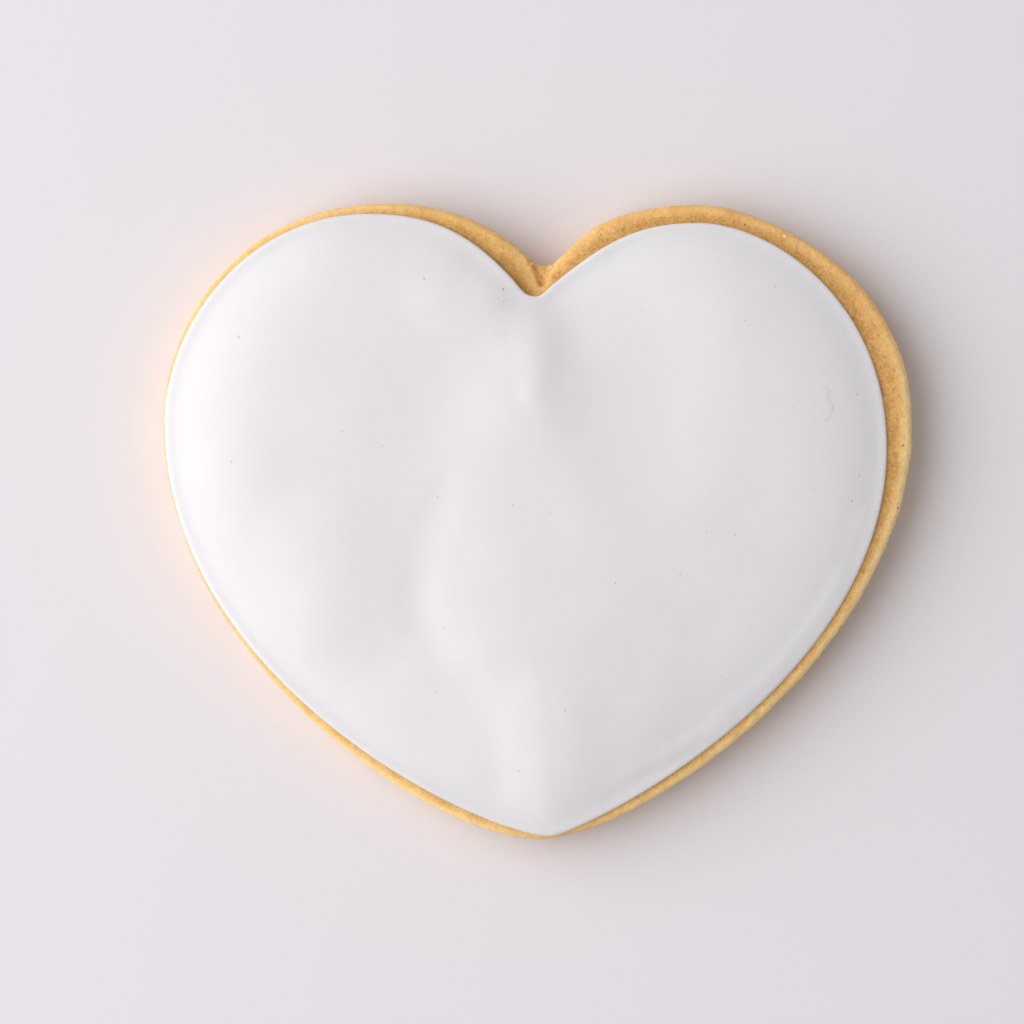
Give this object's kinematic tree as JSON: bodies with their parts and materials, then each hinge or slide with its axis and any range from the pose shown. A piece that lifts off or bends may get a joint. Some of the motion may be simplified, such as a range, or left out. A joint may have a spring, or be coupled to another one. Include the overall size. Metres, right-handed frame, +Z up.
{
  "type": "iced sugar cookie",
  "caption": "Heart-shaped baked sugar cookie with a smooth coat of white icing over its top and a bare golden rim where the icing stops short of the edge",
  "frame": {"origin": "middle of the flat underside, at the centre of the overall box", "axes": "+X across the heart from its left lobe to its right lobe, +Y from the tip towards the lobes, +Z up through the icing"},
  "size_m": [0.09, 0.0764, 0.0093],
  "materials": {
    "cookie": "matte, fine-grained baked dough",
    "icing": "smooth satin white icing"
  },
  "bodies": {
    "root": {"cookie": "cookie", "icing": "icing"}
  },
  "joints": []
}
